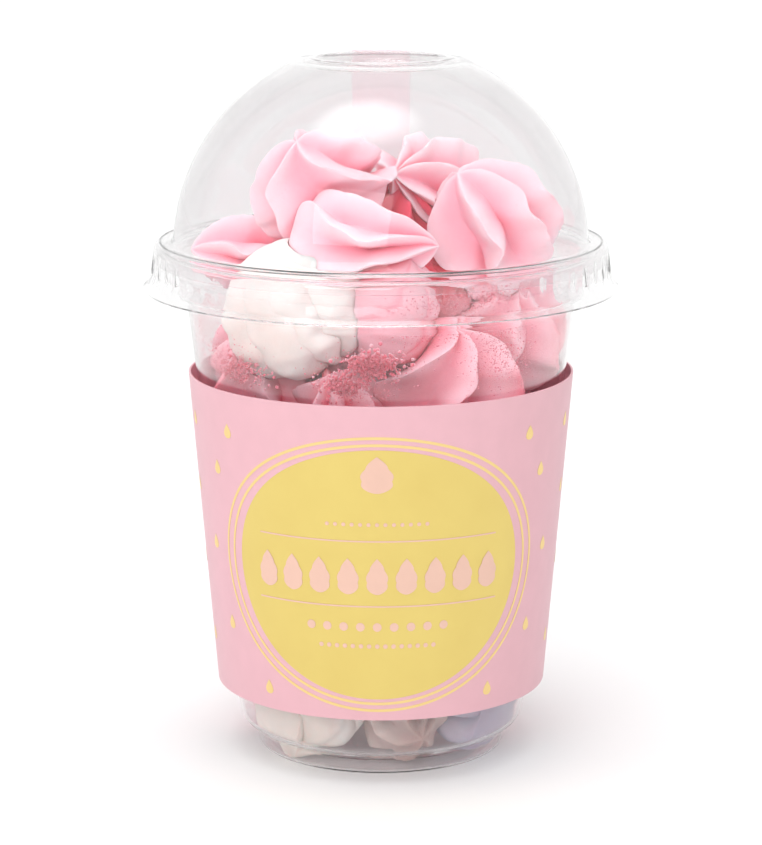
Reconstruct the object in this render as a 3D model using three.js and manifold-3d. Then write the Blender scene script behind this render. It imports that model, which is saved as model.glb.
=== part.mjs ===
// A clear cup of piped meringue cookies: a tapered cup with a foot, a domed lid pushed over its rim,
// a paper sleeve, a paper seal strip down the back, and the meringues that fill the cup.
// Millimetres, +Z up, origin on the floor at the centre of the foot, the sleeve's front towards -Y.
import * as THREE from "three";
import { mergeVertices } from "three/addons/utils/BufferGeometryUtils.js";
import Module from "manifold-3d";

const wasm = await Module();
wasm.setup();

// Driving dimensions.
const ROUND_SIDES = 36; // facets round the cup, lid and sleeve
const PLASTIC = 0.6; // wall of the cup and the lid
const GAP = 0.3; // clearance kept between neighbours

const FOOT = { radius: 26.7, flare: 0.9, height: 4.2, ringWidth: 3.2, recess: 1.6 };
const BODY = { bottomRadius: 31.2, bottomZ: 9.2, topRadius: 41.4, topZ: 97.5 };
const SHOULDER = { radius: 43.8, z: 100 }; // step that stops stacked cups from jamming
const RIM = { wallRadius: 44.6, topZ: 109, lipRadius: 47.4, curlZ: 106.4 };

const DOME = { radius: 44.3, centreZ: 108.4, lowAngle: 4, highAngle: 66, steps: 8 };
const CROWN = { topZ: 149.4, outerRadius: 16.3, innerRadius: 13.1, floorZ: 147.7 };
const FLANGE = { z: 110.4, innerRadius: 44.7, beadRadius: 47, beadHeight: 0.5, radius: 48.5 };
const SKIRT = { straightZ: 104.4, edgeRadius: 50.7, edgeZ: 101 };

const SLEEVE = { bottomRadius: 35.6, bottomZ: 14.8, topRadius: 41.3, topZ: 82.6, board: 0.5 };
const STRIP = { width: 13, paper: 0.3, sleeveOverlap: 16 };

const FILL = { radius: 31, bottomZ: 27, shoulderZ: 72, topZ: 84 };

function material(color, roughness, extra = {}) {
  return new THREE.MeshStandardMaterial({ color, roughness, metalness: 0, ...extra });
}

const MATERIALS = {
  clear: material(0xeef0f1, 0.05, { transparent: true, opacity: 0.3 }),
  sleeve: material(0xefc3ca, 0.6),
  strip: material(0xf3bfcb, 0.55),
  pink: material(0xfab8c6, 0.85),
  white: material(0xfaf5f0, 0.85),
  beige: material(0xd9c3b8, 0.85),
  lilac: material(0xc9c2dc, 0.85),
};

// What a meringue is like unless its own entry says otherwise. Each crest runs from its bearing
// at the base to its bearing at the peak, in degrees, and sways on the way. A third number bends
// its middle aside by that many degrees, and a fourth says how much further out it stands, as a
// share of the radius. Hollows lie between the crests: depth is their share of the radius, and
// footDepth the part of that depth that they keep at the base, below riseFrom of the height, on
// the way to their full depth at riseTo. Draw says how fast the piece narrows to its peak. Lobed
// ones are round, with soft grooves.
const COMMON = {
  colour: "pink",
  crests: [[0, 50], [62, 108], [118, 170], [183, 228], [240, 292], [300, 345]],
  depth: 0.55,
  footDepth: 0.25,
  riseFrom: 0.1,
  riseTo: 0.4,
  sway: 0.18,
  lobed: false,
  draw: 1.5,
  turn: 0,
  rings: 8,
  facets: 4,
};
const BASE_SHARE = 0.38; // of a meringue's height, below its widest ring
const RIB_WIDTH = 0.23; // of a crest, in radians from its middle

const ROLLS = [
  [0, 10], [30, 30], [85, 75], [160, 150], [225, 215], [275, 270], [303, 300], [330, 330],
];
const WIDE_ROLLS = [[0, 30], [60, 90], [120, 150], [180, 210], [240, 270], [300, 330]];

// Each meringue's middle, the way its peak points, the turn about that line, its radius and
// height, and what sets it apart. A piece keeps clear of the ones before it.
const MERINGUES = {
  meringue_top_left: {
    at: [-12.9, -8, 122.3], tip: [-0.3, -0.6, 0.75], radius: 15.2, height: 24,
    depth: 0.6, sway: 0.08,
    crests: [
      [55, 70, -46, -0.08], [125, 95, -10, -0.05], [196, 125, 30, 0], [222, 212, 14, 0.06],
      [385, 278, 14, 0.03],
    ],
  },
  meringue_front: {
    at: [-6.5, -20, 113.4], tip: [0.95, -0.3, -0.02], radius: 11, height: 31,
    footDepth: 0.4, sway: 0.06,
    crests: [
      [45, 80, 0, 0], [120, 168, 40, -0.05], [165, 212, 47, 0.06], [252, 252, 28, 0.04],
      [315, 335, 10, 0],
    ],
  },
  meringue_right: {
    at: [24, -8, 114], tip: [-0.5, -0.45, 0.78], radius: 16, height: 27,
    depth: 0.54, sway: 0.1,
    crests: [
      [222, 150, 36, -0.05], [256, 264, 6, 0.03], [312, 376, -32, 0.05], [356, 414, -24, 0],
      [425, 445, -10, -0.15], [500, 480, 10, -0.1],
    ],
  },
  meringue_white: {
    at: [-16.7, -19, 97.3], tip: [-0.45, -0.35, 0.82], radius: 16, height: 27,
    colour: "white", crests: ROLLS, depth: 0.09, footDepth: 2.2, lobed: true, draw: 1.1,
    sway: 0.08, facets: 3,
  },
  meringue_back: {
    at: [11.2, 11.6, 118], tip: [-0.45, -0.82, 0.36], radius: 13.4, height: 31,
    sway: 0.06, facets: 3,
    crests: [
      [80, 66, 5, 0.1], [128, 120, 0, 0.22], [225, 234, -5, 0.05], [272, 270, 7, 0],
      [303, 304, 2, 0], [350, 378, -16, 0.05], [395, 402, -4, 0.08],
    ],
  },
  meringue_left: {
    at: [-27.5, 0, 107.5], tip: [-0.9, -0.35, 0.12], turn: 40, radius: 10, height: 22,
  },
  meringue_low_front: {
    at: [14.5, -20, 81.5], tip: [0, -0.2, 0.97], radius: 14.8, height: 26, sway: 0.06,
    crests: [[190, 310, -56], [215, 326, 14], [320, 366, 3], [395, 420], [470, 485]],
  },
  meringue_low_middle: {
    at: [1, -20.5, 98.5], tip: [0.35, -0.35, 0.85], radius: 11.5, height: 23,
    crests: WIDE_ROLLS, depth: 0.08, footDepth: 1, lobed: true, facets: 3,
  },
  meringue_low_right: {
    at: [25.5, -6, 91], tip: [0.1, -0.5, 0.9], radius: 14, height: 24, depth: 0.4, facets: 3,
  },
  meringue_low_left: {
    at: [-24, -10, 80], tip: [-0.3, -0.3, 0.9], radius: 13.5, height: 24, depth: 0.4, facets: 3,
  },
  meringue_back_right: {
    at: [27, 14, 106], tip: [0.5, 0.3, 0.8], radius: 13, height: 23, facets: 3,
  },
  meringue_back_left: {
    at: [-16, 20, 107], tip: [-0.3, 0.3, 0.9], radius: 15, height: 25, facets: 3,
  },
  meringue_back_low: {
    at: [6, 26, 97], tip: [0.2, 0.8, 0.5], radius: 13.5, height: 22, facets: 3,
  },
  base_white: {
    at: [-14, -15, 13.5], tip: [-0.5, -0.5, 0.4], radius: 13, height: 22,
    colour: "white", crests: WIDE_ROLLS, depth: 0.2, lobed: true, rings: 7, facets: 3,
  },
  base_lilac: {
    at: [19, -13, 13.5], tip: [0.5, -0.5, 0.5], radius: 12, height: 20,
    colour: "lilac", crests: WIDE_ROLLS, depth: 0.2, lobed: true, rings: 7, facets: 3,
  },
  base_beige: {
    at: [5, -18, 11], tip: [0.3, -0.8, -0.2], radius: 10, height: 18,
    colour: "beige", depth: 0.3, rings: 7, facets: 3,
  },
  base_pink_left: {
    at: [-17, 11, 13], tip: [-0.6, 0.5, 0.4], radius: 13, height: 22, rings: 7, facets: 3,
  },
  base_pink_right: {
    at: [19, 10, 13], tip: [0.6, 0.4, 0.5], radius: 12, height: 21, rings: 7, facets: 3,
  },
  base_white_back: {
    at: [1, 20, 12.5], tip: [0.1, 0.8, 0.4], radius: 11.5, height: 20,
    colour: "white", crests: WIDE_ROLLS, depth: 0.2, lobed: true, rings: 7, facets: 3,
  },
};

// Meringues that show only in part, between and behind the others, fused to the filling's core.
const FUSED = [
  { at: [2, 1, 95], tip: [0.2, -0.4, 0.9], radius: 15, height: 24 },
  { at: [3, 5, 111.5], tip: [0.1, -0.5, 0.8], radius: 13, height: 22 },
  { at: [-23, 16, 84], tip: [-0.5, 0.4, 0.8], radius: 14, height: 24 },
  { at: [22, 20, 82], tip: [0.5, 0.5, 0.7], radius: 14, height: 24 },
  { at: [-8, -22, 75.5], tip: [-0.2, -0.5, 0.8], radius: 13, height: 22 },
  { at: [9.5, -5.5, 96], tip: [0.1, -0.6, 0.8], radius: 12.5, height: 22 },
];

const UP = new THREE.Vector3(0, 0, 1);
const radians = THREE.MathUtils.degToRad;

// A closed three.js geometry as a manifold-3d solid, and back.
function toSolid(geometry) {
  const bare = geometry.clone();
  bare.deleteAttribute("normal");
  bare.deleteAttribute("uv");
  const merged = mergeVertices(bare, 1e-3);
  return new wasm.Manifold(
    new wasm.Mesh({
      numProp: 3,
      vertProperties: merged.attributes.position.array,
      triVerts: new Uint32Array(merged.index.array),
    }),
  );
}

function toGeometry(solid) {
  const { vertProperties, triVerts } = solid.getMesh();
  const geometry = new THREE.BufferGeometry();
  geometry.setAttribute("position", new THREE.BufferAttribute(vertProperties, 3));
  geometry.setIndex(new THREE.BufferAttribute(triVerts, 1));
  geometry.computeVertexNormals();
  return geometry;
}

// The largest body of a solid, without the scraps that a cut leaves.
function largestBody(solid) {
  return solid.decompose().reduce((a, b) => (b.volume() > a.volume() ? b : a));
}

// A line of [radius, z] points and the same line set off by a thickness, as one closed profile:
// side 1 sets it off to the left of the line, side -1 to its right.
function wallProfile(line, thickness, side) {
  const points = line.map(([r, z]) => new THREE.Vector2(r, z));
  const normals = points.slice(1).map((end, i) => {
    const along = end.clone().sub(points[i]).normalize();
    return new THREE.Vector2(-along.y, along.x).multiplyScalar(side);
  });
  const offset = points.map((point, i) => {
    const before = normals[Math.max(i - 1, 0)];
    const after = normals[Math.min(i, normals.length - 1)];
    const mitre = before.clone().add(after).normalize();
    const reach = thickness / Math.max(mitre.dot(after), 0.6);
    return point.clone().addScaledVector(mitre, reach);
  });
  return [...points, ...offset.reverse()];
}

// A profile turned round the z axis, facing out whichever way the profile runs.
function turned(profile, sides = ROUND_SIDES) {
  const outward = THREE.ShapeUtils.area(profile) > 0 ? profile : [...profile].reverse();
  return new THREE.LatheGeometry(outward, sides).rotateX(Math.PI / 2);
}

function arcPoints(radius, centreR, centreZ, from, to, steps) {
  return Array.from({ length: steps + 1 }, (_, i) => {
    const angle = radians(from + ((to - from) * i) / steps);
    return [centreR + radius * Math.cos(angle), centreZ + radius * Math.sin(angle)];
  });
}

// The cup's outside up to the foot of its rim, from the middle of the raised bottom.
function cupBodyLine() {
  const ledge = FOOT.radius + FOOT.flare;
  const cornerWidth = BODY.bottomRadius - ledge;
  const cornerHeight = BODY.bottomZ - FOOT.height;
  return [
    [0, FOOT.recess],
    [FOOT.radius - FOOT.ringWidth - FOOT.recess, FOOT.recess],
    [FOOT.radius - FOOT.ringWidth, 0],
    [FOOT.radius, 0],
    [ledge, FOOT.height],
    [ledge + 0.45 * cornerWidth, FOOT.height + 0.15 * cornerHeight],
    [ledge + 0.85 * cornerWidth, FOOT.height + 0.45 * cornerHeight],
    [BODY.bottomRadius, BODY.bottomZ],
    [BODY.topRadius, BODY.topZ],
    [SHOULDER.radius, SHOULDER.z],
  ];
}

function cupGeometry() {
  const curl = (RIM.lipRadius - PLASTIC - RIM.wallRadius) / 2;
  const curlZ = RIM.topZ - PLASTIC - curl;
  const line = [
    ...cupBodyLine(),
    [RIM.wallRadius, curlZ],
    ...arcPoints(curl, RIM.wallRadius + curl, curlZ, 135, 0, 3),
    [RIM.lipRadius - PLASTIC, RIM.curlZ],
  ];
  return turned(wallProfile(line, PLASTIC, 1));
}

// The lid's outside from the rim of its crown down to the edge of its skirt.
function lidSideLine() {
  const { radius, centreZ, lowAngle, highAngle, steps } = DOME;
  return [
    [CROWN.innerRadius + 0.4, CROWN.topZ],
    [CROWN.outerRadius - 1, CROWN.topZ],
    [CROWN.outerRadius, CROWN.topZ - 0.7],
    ...arcPoints(radius, 0, centreZ, highAngle, lowAngle, steps),
    [FLANGE.innerRadius, FLANGE.z],
    [FLANGE.beadRadius - 0.8, FLANGE.z],
    [FLANGE.beadRadius, FLANGE.z + FLANGE.beadHeight],
    [FLANGE.radius - 0.5, FLANGE.z - 0.2],
    [FLANGE.radius, FLANGE.z - 1.3],
    [FLANGE.radius, SKIRT.straightZ],
    [SKIRT.edgeRadius - 1, SKIRT.edgeZ + 0.9],
    [SKIRT.edgeRadius, SKIRT.edgeZ],
  ];
}

function lidGeometry() {
  const crown = [
    [0, CROWN.floorZ],
    [CROWN.innerRadius - 0.6, CROWN.floorZ],
  ];
  return turned(wallProfile([...crown, ...lidSideLine()], PLASTIC, -1));
}

function sleeveRadius(z) {
  return THREE.MathUtils.mapLinear(
    z,
    SLEEVE.bottomZ,
    SLEEVE.topZ,
    SLEEVE.bottomRadius,
    SLEEVE.topRadius,
  );
}

function sleeveGeometry() {
  const line = [
    [SLEEVE.bottomRadius, SLEEVE.bottomZ],
    [SLEEVE.topRadius, SLEEVE.topZ],
  ];
  const profile = wallProfile(line, SLEEVE.board, 1);
  return turned([...profile, profile[0]]);
}

// The paper strip over the back of the lid and on down to the sleeve: a flat box whose rows follow
// the line down the outside, and whose width bends round the axis.
function stripGeometry() {
  const endZ = SLEEVE.topZ - STRIP.sleeveOverlap;
  const under = [...lidSideLine(), [SLEEVE.topRadius, SLEEVE.topZ], [sleeveRadius(endZ), endZ]];
  const standoff = wallProfile(under, GAP, 1).slice(under.length).reverse();
  const faces = wallProfile(standoff.map(({ x, y }) => [x, y]), STRIP.paper, 1);
  const steps = under.length - 1;
  const geometry = new THREE.BoxGeometry(STRIP.width, 1, 1, 3, 1, steps);
  const position = geometry.attributes.position;
  for (let i = 0; i < position.count; i++) {
    const row = Math.round((0.5 - position.getZ(i)) * steps);
    const face = position.getY(i) > 0 ? faces.at(-1 - row) : faces[row];
    const x = position.getX(i);
    position.setXYZ(i, x, Math.sqrt(face.x ** 2 - x ** 2), face.y);
  }
  return geometry;
}

// How deep a point lies, a share of the way between two crests: from 0 on either crest to 1.
function hollowBetween(share, gap, lobed) {
  if (lobed) return 1 - Math.abs(Math.sin(Math.PI * share)) ** 0.8;
  const near = (Math.min(share, 1 - share) * gap) / RIB_WIDTH;
  const far = gap / 2 / RIB_WIDTH;
  const rib = (1 - 1 / (1 + near ** 2)) / (1 - 1 / (1 + far ** 2));
  return rib * (0.72 + 0.28 * Math.sin(Math.PI * share));
}

// A star-nozzle meringue about its own middle, its peak along +z: a round pillow drawn up to a
// point, with crests that run from the base to the peak.
function pipedMeringue(shape, index) {
  const { radius, height, crests, depth, footDepth, sway } = shape;
  const count = crests.length;
  const base = BASE_SHARE * height;
  const profile = Array.from({ length: shape.rings + 1 }, (_, i) => {
    const latitude = Math.PI * (i / shape.rings - 0.5);
    const rise = Math.sin(latitude);
    const width = Math.abs(Math.cos(latitude)) ** (rise < 0 ? 0.6 : shape.draw);
    return new THREE.Vector2(radius * width, rise < 0 ? base * rise : (height - base) * rise);
  });
  profile[0].x = 0;
  profile[shape.rings].x = 0;

  const bearing = (crest, climb) => {
    const [foot, peak, bend = 0] = crests[crest % count];
    const swaying =
      Math.sin(5.5 * climb + 2.1 * (crest % count) + index) +
      0.4 * Math.sin(14 * climb + 4.3 * (crest % count) + index);
    const turns = 2 * Math.PI * Math.floor(crest / count);
    const bent = bend * 4 * climb * (1 - climb);
    return radians(foot + (peak - foot) * climb + bent) + sway * swaying + turns;
  };
  const rise = (crest) =>
    crests[crest % count][3] ?? 0.1 * Math.cos(2.4 * (crest % count) + 2.3 * index);

  const geometry = turned(profile, count * shape.facets);
  const position = geometry.attributes.position;
  for (let i = 0; i < position.count; i++) {
    const x = position.getX(i);
    const y = position.getY(i);
    const z = position.getZ(i);
    const round = (Math.atan2(y, x) / (2 * Math.PI) + 1) % 1;
    const step = Math.round(round * count * shape.facets);
    const crest = Math.floor(step / shape.facets) % count;
    const share = (step % shape.facets) / shape.facets;
    const climb = Math.max((z + base) / height, 0);
    const here = bearing(crest, climb);
    const there = bearing(crest + 1, climb);
    const hollow = hollowBetween(share, there - here, shape.lobed);
    const open = THREE.MathUtils.smoothstep(climb, shape.riseFrom, shape.riseTo);
    const reach = depth * (footDepth + (1 - footDepth) * open);
    const angle = here + (there - here) * share;
    const lopsided = 1 + 0.05 * Math.cos(angle + 1.7 * index) + 0.04 * Math.cos(2 * (angle + index));
    const tall = rise(crest) * (1 - share) + rise(crest + 1) * share;
    const width = Math.hypot(x, y) * lopsided * (1 + open * tall) * (1 - reach * hollow);
    position.setXYZ(i, width * Math.cos(angle), width * Math.sin(angle), z);
  }
  return geometry;
}

// A meringue where it lies in the cup, and the larger room that its neighbours leave it.
function placedMeringue(entry, index) {
  const shape = { ...COMMON, ...entry };
  const geometry = pipedMeringue(shape, index);
  const facing = new THREE.Quaternion().setFromUnitVectors(
    UP,
    new THREE.Vector3(...shape.tip).normalize(),
  );
  facing.multiply(new THREE.Quaternion().setFromAxisAngle(UP, radians(shape.turn)));
  const placed = (grow) => {
    const size = new THREE.Vector3(grow, grow, grow);
    const matrix = new THREE.Matrix4().compose(new THREE.Vector3(...shape.at), facing, size);
    return toSolid(geometry.clone().applyMatrix4(matrix));
  };
  return {
    solid: placed(1),
    keepOut: placed(1 + (3 * GAP) / shape.radius),
    look: MATERIALS[shape.colour],
  };
}

// The room inside the shut cup, a gap short of the plastic all round.
function roomInside() {
  const body = cupBodyLine();
  const inner = wallProfile(body, PLASTIC + GAP, 1).slice(body.length).reverse();
  const dome = arcPoints(DOME.radius - PLASTIC - GAP, 0, DOME.centreZ, 3, 70, 8);
  const points = [...inner, ...dome.map(([r, z]) => new THREE.Vector2(r, z))];
  return toSolid(turned([...points, new THREE.Vector2(0, points.at(-1).y)]));
}

// The filling's core, out of sight behind the sleeve, with the fused meringues on it.
function fillSolid() {
  const { radius, bottomZ, shoulderZ, topZ } = FILL;
  const line = [
    [0, bottomZ],
    [0.8 * radius, bottomZ],
    [radius, bottomZ + 5],
    [radius, shoulderZ],
    [0.5 * radius, topZ],
    [0, topZ],
  ];
  const core = toSolid(turned(line.map(([r, z]) => new THREE.Vector2(r, z)), 16));
  return FUSED.reduce((sum, entry, i) => {
    const coarse = { ...entry, rings: 5, facets: 3 };
    return sum.add(placedMeringue(coarse, i).solid);
  }, core);
}

const group = new THREE.Group();
function add(name, geometry, look) {
  const mesh = new THREE.Mesh(geometry, look);
  mesh.name = name;
  group.add(mesh);
}

add("cup", cupGeometry(), MATERIALS.clear);
add("lid", lidGeometry(), MATERIALS.clear);
add("sleeve", sleeveGeometry(), MATERIALS.sleeve);
add("seal_strip", stripGeometry(), MATERIALS.strip);

const room = roomInside();
const taken = [];
const freePart = (solid) =>
  largestBody(taken.reduce((left, other) => left.subtract(other), solid.intersect(room)));

Object.entries(MERINGUES).forEach(([name, entry], index) => {
  const { solid, keepOut, look } = placedMeringue(entry, index);
  add(name, toGeometry(freePart(solid)), look);
  taken.push(keepOut);
});
add("meringue_fill", toGeometry(freePart(fillSolid())), MATERIALS.pink);

export default group;
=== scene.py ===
"""A clear cup of piped meringue cookies with a domed lid, a paper sleeve and a paper seal strip.

Metres, +Z up, the sleeve's front towards -Y. Sizes are written in millimetres and times MM.
"""

import math
import random

import bpy
from mathutils import Matrix, Quaternion, Vector


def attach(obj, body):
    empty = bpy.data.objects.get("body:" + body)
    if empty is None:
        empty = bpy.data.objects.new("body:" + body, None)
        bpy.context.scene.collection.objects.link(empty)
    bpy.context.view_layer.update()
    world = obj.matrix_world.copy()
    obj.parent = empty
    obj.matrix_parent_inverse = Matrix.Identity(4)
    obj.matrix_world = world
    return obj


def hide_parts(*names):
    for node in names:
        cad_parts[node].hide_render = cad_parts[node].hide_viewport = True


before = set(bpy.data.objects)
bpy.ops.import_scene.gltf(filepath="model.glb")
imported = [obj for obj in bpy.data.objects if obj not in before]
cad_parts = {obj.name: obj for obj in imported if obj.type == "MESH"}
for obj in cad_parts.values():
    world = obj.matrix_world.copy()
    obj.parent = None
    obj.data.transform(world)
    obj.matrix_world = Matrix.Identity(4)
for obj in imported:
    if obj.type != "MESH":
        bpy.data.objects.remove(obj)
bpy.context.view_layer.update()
MM = 0.001

# ---------------------------------------------------------------------------------------------
# The studio: a wide pale table, and a pale room with a soft glow overhead, a little to the left.
# A big soft box in front fills the shadows. The camera looks a little down at the front.


def feed(tree, node, inputs):
    """Gives a node its inputs, each a value or another node's socket."""
    for socket, value in inputs.items():
        if isinstance(value, bpy.types.NodeSocket):
            tree.links.new(value, node.inputs[socket])
        else:
            node.inputs[socket].default_value = value


def add_node(tree, kind, inputs=None, **settings):
    """A shader node with its settings and inputs."""
    node = tree.nodes.new("ShaderNode" + kind)
    for setting, value in settings.items():
        setattr(node, setting, value)
    feed(tree, node, inputs or {})
    return node


def noise(tree, place, size, detail=2.0):
    """Cloudy noise, from 0 to 1."""
    inputs = {"Vector": place, "Scale": size, "Detail": detail}
    return add_node(tree, "TexNoise", inputs).outputs["Fac"]


def mapped(tree, value, low, high, to_low=0.0, to_high=1.0, smooth=False):
    """A value moved from the range low to high on to another range, and kept within it."""
    ends = {"From Min": low, "From Max": high, "To Min": to_low, "To Max": to_high}
    curve = "SMOOTHSTEP" if smooth else "LINEAR"
    node = add_node(tree, "MapRange", {"Value": value, **ends}, interpolation_type=curve)
    return node.outputs["Result"]


def new_material(name):
    """An empty material: its node tree, its Principled BSDF and its output node."""
    material = bpy.data.materials.new(name)
    material.use_nodes = True
    nodes = material.node_tree.nodes
    return material, material.node_tree, nodes["Principled BSDF"], nodes["Material Output"]


LOOKS_DOWN = 12.03  # degrees
bpy.ops.object.camera_add(
    location=(0, -0.633, 0.20555), rotation=(math.radians(90 - LOOKS_DOWN), 0, 0)
)
camera = bpy.context.object
camera.data.sensor_width = 36
camera.data.lens = 127.68
camera.data.clip_start = 0.01
bpy.context.scene.camera = camera

bpy.ops.mesh.primitive_plane_add(size=24, location=(0, 0, 0))
table = bpy.context.object
table.name = "table"
table_material, tree, shader, _ = new_material("pale_table")
place = add_node(tree, "TexCoord").outputs["Object"]
table_grain = noise(tree, place, 1.5)
table_tone = mapped(tree, table_grain, 0, 1, 0.70, 0.72)
table_look = {
    "Base Color": table_tone, "Roughness": 0.7, "Specular IOR Level": 0.2,
    "Emission Color": (1, 1, 1, 1), "Emission Strength": 0.1,
}
feed(tree, shader, table_look)
table.data.materials.append(table_material)

ROOM_BACK, ROOM_FRONT, GLOW = 1.12, 0.88, 3.4
GLOW_TOWARDS = Vector((-0.13, -0.12, 1.0)).normalized()
room_air = bpy.data.worlds.new("studio_air")
room_air.use_nodes = True
bpy.context.scene.world = room_air
tree = room_air.node_tree
direction = add_node(tree, "TexCoord").outputs["Generated"]
bearings = add_node(tree, "SeparateXYZ", {"Vector": direction}).outputs
depth_light = mapped(tree, bearings["Y"], -0.8, 0.5, ROOM_FRONT, ROOM_BACK, smooth=True)
off_glow = add_node(
    tree, "VectorMath", {0: direction, 1: tuple(GLOW_TOWARDS)}, operation="SUBTRACT"
)
oval_off_glow = add_node(
    tree, "VectorMath", {0: off_glow.outputs[0], 1: (1.0, 1.5, 1.0)}, operation="MULTIPLY"
)
glow_distance = add_node(
    tree, "VectorMath", {0: oval_off_glow.outputs[0]}, operation="LENGTH"
)
glow = mapped(tree, glow_distance.outputs["Value"], 0.2, 0.5, GLOW, 0.0, smooth=True)
brightness = add_node(tree, "Math", {0: depth_light, 1: glow}, operation="ADD")
room_look = {"Strength": brightness.outputs[0], "Color": (1, 1, 1, 1)}
feed(tree, tree.nodes["Background"], room_look)

FILL_AT, FILL_AIM = Vector((-0.5, -1.6, 0.9)), Vector((0, 0, 0.1))
bpy.ops.object.light_add(type="AREA", location=FILL_AT)
lamp = bpy.context.object
lamp.name = "front_fill"
lamp.rotation_euler = (FILL_AIM - FILL_AT).to_track_quat("-Z", "Y").to_euler()
lamp.data.shape = "RECTANGLE"
lamp.data.size = 1.4
lamp.data.size_y = 1.0
lamp.data.energy = 14.0
lamp.visible_glossy = False  # it has no mirror image in the plastic

scene = bpy.context.scene
scene.view_settings.view_transform = "Standard"
scene.cycles.max_bounces = 64
scene.cycles.transmission_bounces = 48
scene.cycles.transparent_max_bounces = 24
scene.cycles.glossy_bounces = 48
scene.cycles.diffuse_bounces = 4

# ---------------------------------------------------------------------------------------------
# The cup: clear PET, drawn from warm sheet over a tapered mould with a foot to stand on, a step
# under the rim that keeps stacked cups apart, and a rim rolled outwards. It stands on its foot.

ROUND_STEPS = 144
PLASTIC = 0.6
GAP = 0.3
CORNER = 0.9  # how far from a corner its rounding starts
FOOT = {"radius": 26.7, "flare": 0.9, "height": 4.2, "ring": 3.2, "recess": 1.6}
BODY = {"bottom_radius": 31.2, "bottom_z": 9.2, "top_radius": 41.4, "top_z": 97.5}
SHOULDER = {"radius": 43.8, "z": 100}
RIM = {"wall_radius": 44.6, "top_z": 109, "lip_radius": 47.4, "curl_z": 106.4}
DOME = {"radius": 44.3, "centre_z": 108.4, "low_angle": 4, "high_angle": 66}


def eased(line, reach, cuts=3):
    """A line of (radius, height) points with its corners rounded off, each by a short curve."""
    corners = [Vector(point) for point in line]
    points = [corners[0]]
    for before, corner, after in zip(corners, corners[1:], corners[2:]):
        near, far = before - corner, after - corner
        start = corner + near.normalized() * min(reach, near.length / 2.2)
        end = corner + far.normalized() * min(reach, far.length / 2.2)
        for i in range(cuts + 1):
            share = i / cuts
            points.append(start.lerp(corner, share).lerp(corner.lerp(end, share), share))
    return points + [corners[-1]]


def offset_line(line, distance):
    """The line moved sideways: to its left by a positive distance, to its right otherwise."""
    sides = []
    for start, end in zip(line, line[1:]):
        along = (end - start).normalized()
        sides.append(Vector((-along.y, along.x)))
    moved = []
    for i, point in enumerate(line):
        before, after = sides[max(i - 1, 0)], sides[min(i, len(sides) - 1)]
        mitre = (before + after).normalized()
        moved.append(point + mitre * (distance / max(mitre.dot(after), 0.6)))
    return moved


def arc(radius, centre, start_angle, end_angle, steps):
    """Points of a circle's arc, in degrees, as (radius, height)."""
    turns = [start_angle + (end_angle - start_angle) * i / steps for i in range(steps + 1)]
    return [
        Vector((centre[0] + radius * math.cos(a), centre[1] + radius * math.sin(a)))
        for a in map(math.radians, turns)
    ]


def deselect_all():
    bpy.ops.object.select_all(action="DESELECT")


def turned(name, profile, steps=ROUND_STEPS, smooth_under=35):
    """A profile of (radius, height) points in mm, drawn point by point and spun about z."""
    deselect_all()
    start = profile[0]
    bpy.ops.mesh.primitive_plane_add(size=MM, location=(0, 0, 0))
    piece = bpy.context.object
    piece.name = name
    bpy.ops.object.mode_set(mode="EDIT")
    bpy.ops.mesh.merge(type="CENTER")
    bpy.ops.transform.translate(value=(start[0] * MM, 0, start[1] * MM))
    for here, there in zip(profile, profile[1:]):
        step = ((there[0] - here[0]) * MM, 0, (there[1] - here[1]) * MM)
        bpy.ops.mesh.extrude_vertices_move(TRANSFORM_OT_translate={"value": step})
    bpy.ops.mesh.select_all(action="SELECT")
    bpy.ops.mesh.spin(steps=steps, angle=2 * math.pi, center=(0, 0, 0), axis=(0, 0, 1))
    bpy.ops.mesh.select_all(action="SELECT")
    bpy.ops.mesh.remove_doubles(threshold=0.00001)
    bpy.ops.mesh.normals_make_consistent(inside=False)
    bpy.ops.object.mode_set(mode="OBJECT")
    bpy.ops.object.shade_smooth_by_angle(angle=math.radians(smooth_under))
    return piece


def walled(line, thickness):
    """The closed outline of a wall: the line, and back along the line set off to its left."""
    return list(line) + offset_line(line, thickness)[::-1]


ledge = FOOT["radius"] + FOOT["flare"]
corner_width = BODY["bottom_radius"] - ledge
corner_height = BODY["bottom_z"] - FOOT["height"]
cup_body_line = [
    (0, FOOT["recess"]),
    (FOOT["radius"] - FOOT["ring"] - FOOT["recess"], FOOT["recess"]),
    (FOOT["radius"] - FOOT["ring"], 0),
    (FOOT["radius"], 0),
    (ledge, FOOT["height"]),
    (ledge + 0.45 * corner_width, FOOT["height"] + 0.15 * corner_height),
    (ledge + 0.85 * corner_width, FOOT["height"] + 0.45 * corner_height),
    (BODY["bottom_radius"], BODY["bottom_z"]),
    (BODY["top_radius"], BODY["top_z"]),
    (SHOULDER["radius"], SHOULDER["z"]),
]
curl = (RIM["lip_radius"] - PLASTIC - RIM["wall_radius"]) / 2
curl_z = RIM["top_z"] - PLASTIC - curl
cup_line = eased([*cup_body_line, (RIM["wall_radius"], curl_z - 1)], CORNER)
cup_line += arc(curl, (RIM["wall_radius"] + curl, curl_z), 180, 0, 10)
cup_line.append(Vector((RIM["lip_radius"] - PLASTIC, RIM["curl_z"])))
cup = turned("clear_cup", walled(cup_line, PLASTIC))


def mixed(tree, share, first, second, blend="MIX"):
    """A mix of two colours, each given as a colour or as another node's socket."""
    ends = [
        end if isinstance(end, bpy.types.NodeSocket) else (*end, 1) for end in (first, second)
    ]
    inputs = {0: share, 6: ends[0], 7: ends[1]}
    return add_node(tree, "Mix", inputs, data_type="RGBA", blend_type=blend).outputs[2]


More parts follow.
